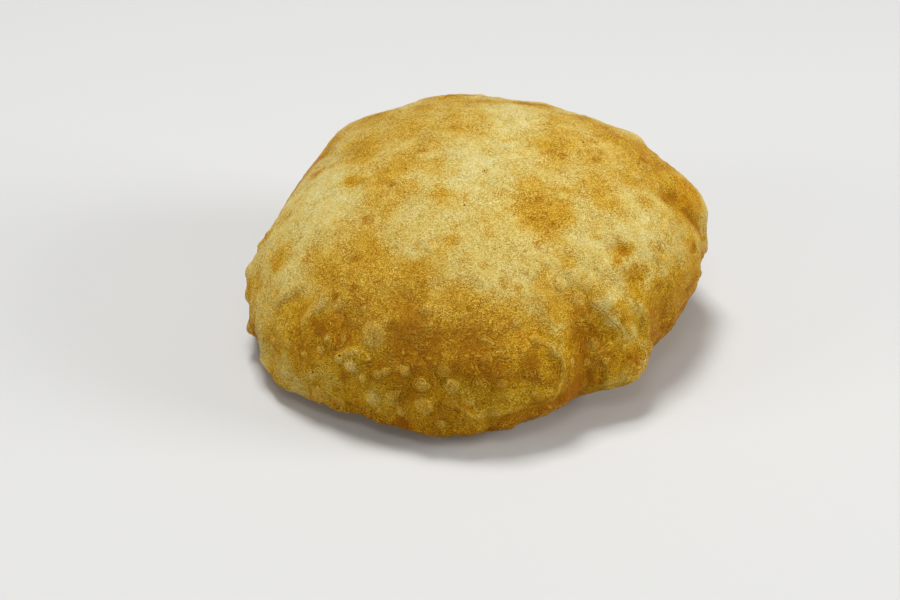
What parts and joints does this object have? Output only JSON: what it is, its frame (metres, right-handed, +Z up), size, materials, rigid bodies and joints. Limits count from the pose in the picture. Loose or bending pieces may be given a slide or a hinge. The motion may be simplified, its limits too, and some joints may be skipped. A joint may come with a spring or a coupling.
{
  "type": "bhatura",
  "caption": "Whole puffed fried wheat bread: a lopsided golden dome over a shallow bowl-shaped belly, pleated round its seam, resting on a small flat foot.",
  "frame": {"origin": "on the surface it rests on, under the middle of its outline", "axes": "+Z up; +X to the bread's right, where its seam lies higher; -Y its front"},
  "size_m": [0.1944, 0.1838, 0.0873],
  "materials": {
    "crust": "satin"
  },
  "bodies": {
    "root": {"bhatura": "crust"}
  },
  "joints": []
}
